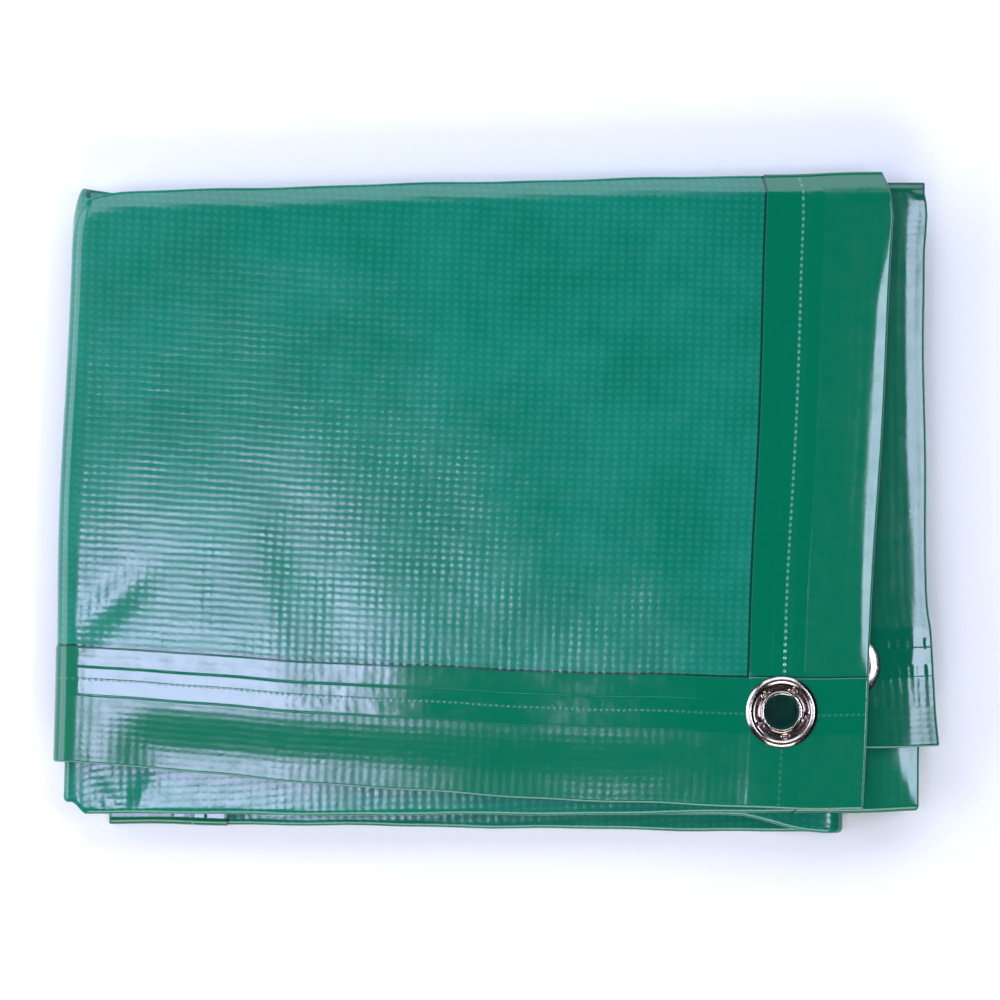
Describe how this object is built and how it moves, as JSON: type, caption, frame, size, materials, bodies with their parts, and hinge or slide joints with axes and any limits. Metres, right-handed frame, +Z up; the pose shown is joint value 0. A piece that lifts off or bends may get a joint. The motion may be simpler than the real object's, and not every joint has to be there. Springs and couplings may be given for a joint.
{
  "type": "folded tarp",
  "caption": "Heavy coated tarpaulin with welded hems and metal corner eyelets, folded into a flat rectangular stack of plies that lies on a surface.",
  "frame": {"origin": "middle of the footprint, on the surface that the stack lies on", "axes": "+X along the stack's long side to the open corner with the eyelets, +Y to the folded back edge, +Z up"},
  "size_m": [0.3194, 0.2388, 0.0255],
  "materials": {
    "coated_cloth": "glossy vinyl coating over a woven base",
    "nickel_plate": "bright nickel plate"
  },
  "bodies": {
    "root": {"tarp_sheet": "coated_cloth", "eyelet_front_right": "nickel_plate", "washer_front_right": "nickel_plate", "eyelet_inner_right": "nickel_plate", "washer_inner_right": "nickel_plate", "eyelet_front_left": "nickel_plate", "washer_front_left": "nickel_plate", "eyelet_inner_left": "nickel_plate", "washer_inner_left": "nickel_plate"}
  },
  "joints": []
}
